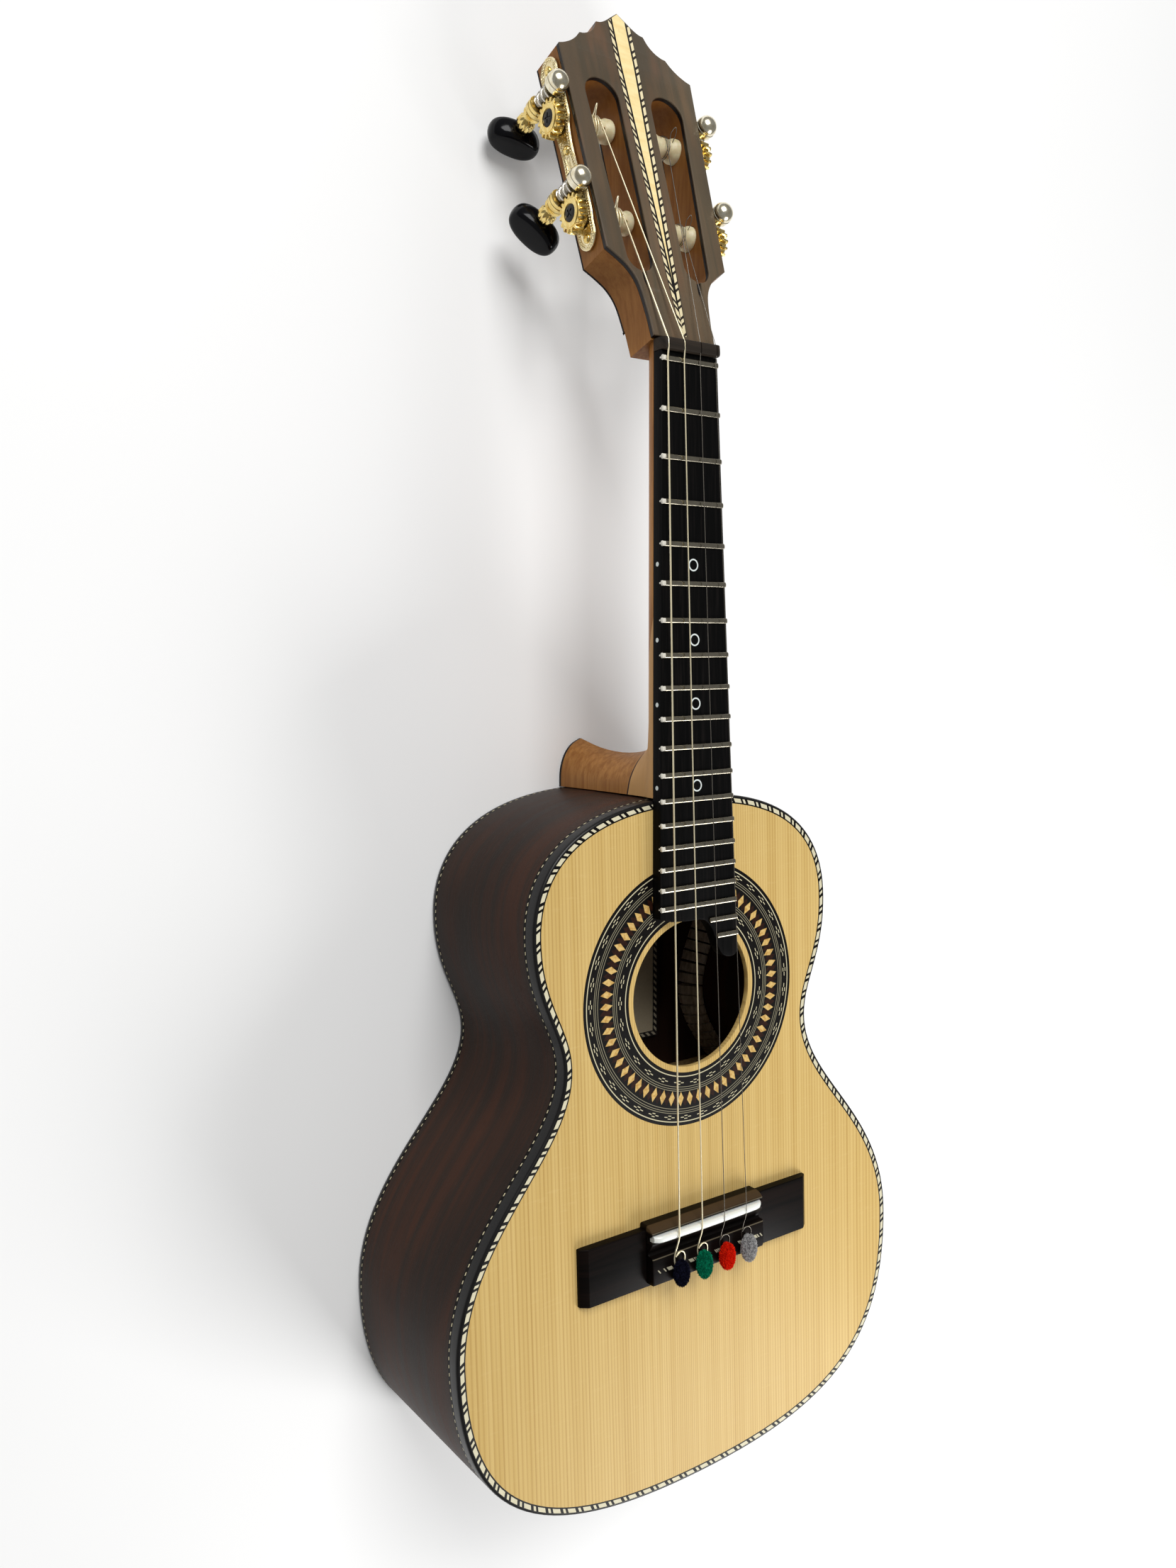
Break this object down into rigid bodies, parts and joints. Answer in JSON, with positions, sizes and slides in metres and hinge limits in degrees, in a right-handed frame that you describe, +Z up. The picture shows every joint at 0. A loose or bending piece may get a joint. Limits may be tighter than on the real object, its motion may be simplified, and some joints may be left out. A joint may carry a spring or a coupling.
{
  "type": "cavaquinho",
  "caption": "Small four-string lute family instrument with a waisted wooden body, fretted neck, slotted head and geared tuners, lying on its flat back.",
  "frame": {"origin": "on the ground plane under the flat back, at the centre of the overall footprint", "axes": "+Z up out of the soundboard side, +Y from the tail toward the head, +X to the right when looking down on the soundboard with the head away"},
  "size_m": [0.2274, 0.6036, 0.0992],
  "materials": {
    "spruce": "satin clear finish over straight-grained spruce",
    "rosewood": "satin, very dark brown",
    "cedar": "satin, orange brown",
    "ebony": "polished, black",
    "head_rosewood": "satin, grey brown with reddish streaks",
    "maple": "satin, pale with small eyes",
    "marquetry": "satin inlay of black, white, amber and brown",
    "bone": "polished bone white",
    "gold": "polished gold plating, engraved",
    "steel": "bright nickel plating",
    "black_plastic": "glossy black",
    "nylon": "satin cream",
    "string_wire": "bright drawn wire",
    "navy_wool": "fuzzy wool, navy",
    "green_wool": "fuzzy wool, green",
    "red_wool": "fuzzy wool, red",
    "grey_wool": "fuzzy wool, grey"
  },
  "bodies": {
    "instrument": {"back_binding": "ebony", "back_brace_lower": "spruce", "back_brace_middle": "spruce", "back_brace_upper": "spruce", "back_centre_strip": "spruce", "back_lining_left": "cedar", "back_lining_right": "cedar", "back_plate": "rosewood", "bridge": "rosewood", "bridge_patch": "spruce", "fretboard": "ebony", "head_stripe": "maple", "headplate": "head_rosewood", "heel_cap": "ebony", "neck": "cedar", "neck_block": "cedar", "nut": "ebony", "rear_veneer": "ebony", "rib_left": "rosewood", "rib_right": "rosewood", "rosette": "marquetry", "saddle": "bone", "soundboard": "spruce", "string_1": "string_wire", "string_2": "string_wire", "string_3": "string_wire", "string_4": "string_wire", "tail_block": "cedar", "top_binding": "ebony", "top_brace_lower": "spruce", "top_brace_upper": "spruce", "top_lining_left": "cedar", "top_lining_right": "cedar", "tuft_1": "grey_wool", "tuft_2": "red_wool", "tuft_3": "green_wool", "tuft_4": "navy_wool", "tuner_plate_left": "gold", "tuner_plate_right": "gold"},
    "tuner_worm_1": {"worm_shaft_1": "steel", "tuner_button_1": "black_plastic"},
    "tuner_roller_1": {"gear_1": "gold", "roller_1": "nylon", "string_winding_1": "string_wire"},
    "tuner_worm_2": {"worm_shaft_2": "steel", "tuner_button_2": "black_plastic"},
    "tuner_roller_2": {"gear_2": "gold", "roller_2": "nylon", "string_winding_2": "string_wire"},
    "tuner_worm_3": {"worm_shaft_3": "steel", "tuner_button_3": "black_plastic"},
    "tuner_roller_3": {"gear_3": "gold", "roller_3": "nylon", "string_winding_3": "string_wire"},
    "tuner_worm_4": {"worm_shaft_4": "steel", "tuner_button_4": "black_plastic"},
    "tuner_roller_4": {"gear_4": "gold", "roller_4": "nylon", "string_winding_4": "string_wire"}
  },
  "joints": [
    {"name": "button_turn_1", "type": "hinge", "parent": "instrument", "child": "tuner_worm_1", "pos_m": [0.03569, 0.22378, 0.05389], "axis": [0, 0.311, 0.9504], "continuous": true},
    {"name": "roller_turn_1", "type": "hinge", "parent": "instrument", "child": "tuner_roller_1", "pos_m": [0.03031, 0.21195, 0.04861], "axis": [0.9992, -0.0373, 0.0122], "continuous": true, "deforming": ["string_1"]},
    {"name": "button_turn_2", "type": "hinge", "parent": "instrument", "child": "tuner_worm_2", "pos_m": [0.03728, 0.26215, 0.04134], "axis": [0, 0.311, 0.9504], "continuous": true},
    {"name": "roller_turn_2", "type": "hinge", "parent": "instrument", "child": "tuner_roller_2", "pos_m": [0.0319, 0.25032, 0.03605], "axis": [0.9992, -0.0373, 0.0122], "continuous": true, "deforming": ["string_2"]},
    {"name": "button_turn_3", "type": "hinge", "parent": "instrument", "child": "tuner_worm_3", "pos_m": [-0.03728, 0.26215, 0.04134], "axis": [0, 0.311, 0.9504], "continuous": true},
    {"name": "roller_turn_3", "type": "hinge", "parent": "instrument", "child": "tuner_roller_3", "pos_m": [-0.0319, 0.25032, 0.03605], "axis": [-0.9992, -0.0373, 0.0122], "continuous": true, "deforming": ["string_3"]},
    {"name": "button_turn_4", "type": "hinge", "parent": "instrument", "child": "tuner_worm_4", "pos_m": [-0.03569, 0.22378, 0.05389], "axis": [0, 0.311, 0.9504], "continuous": true},
    {"name": "roller_turn_4", "type": "hinge", "parent": "instrument", "child": "tuner_roller_4", "pos_m": [-0.03031, 0.21195, 0.04861], "axis": [-0.9992, -0.0373, 0.0122], "continuous": true, "deforming": ["string_4"]}
  ],
  "couplings": [
    {"joint": "roller_turn_1", "follows": "button_turn_1", "ratio": -0.0625},
    {"joint": "roller_turn_2", "follows": "button_turn_2", "ratio": -0.0625},
    {"joint": "roller_turn_3", "follows": "button_turn_3", "ratio": -0.0625},
    {"joint": "roller_turn_4", "follows": "button_turn_4", "ratio": -0.0625}
  ]
}
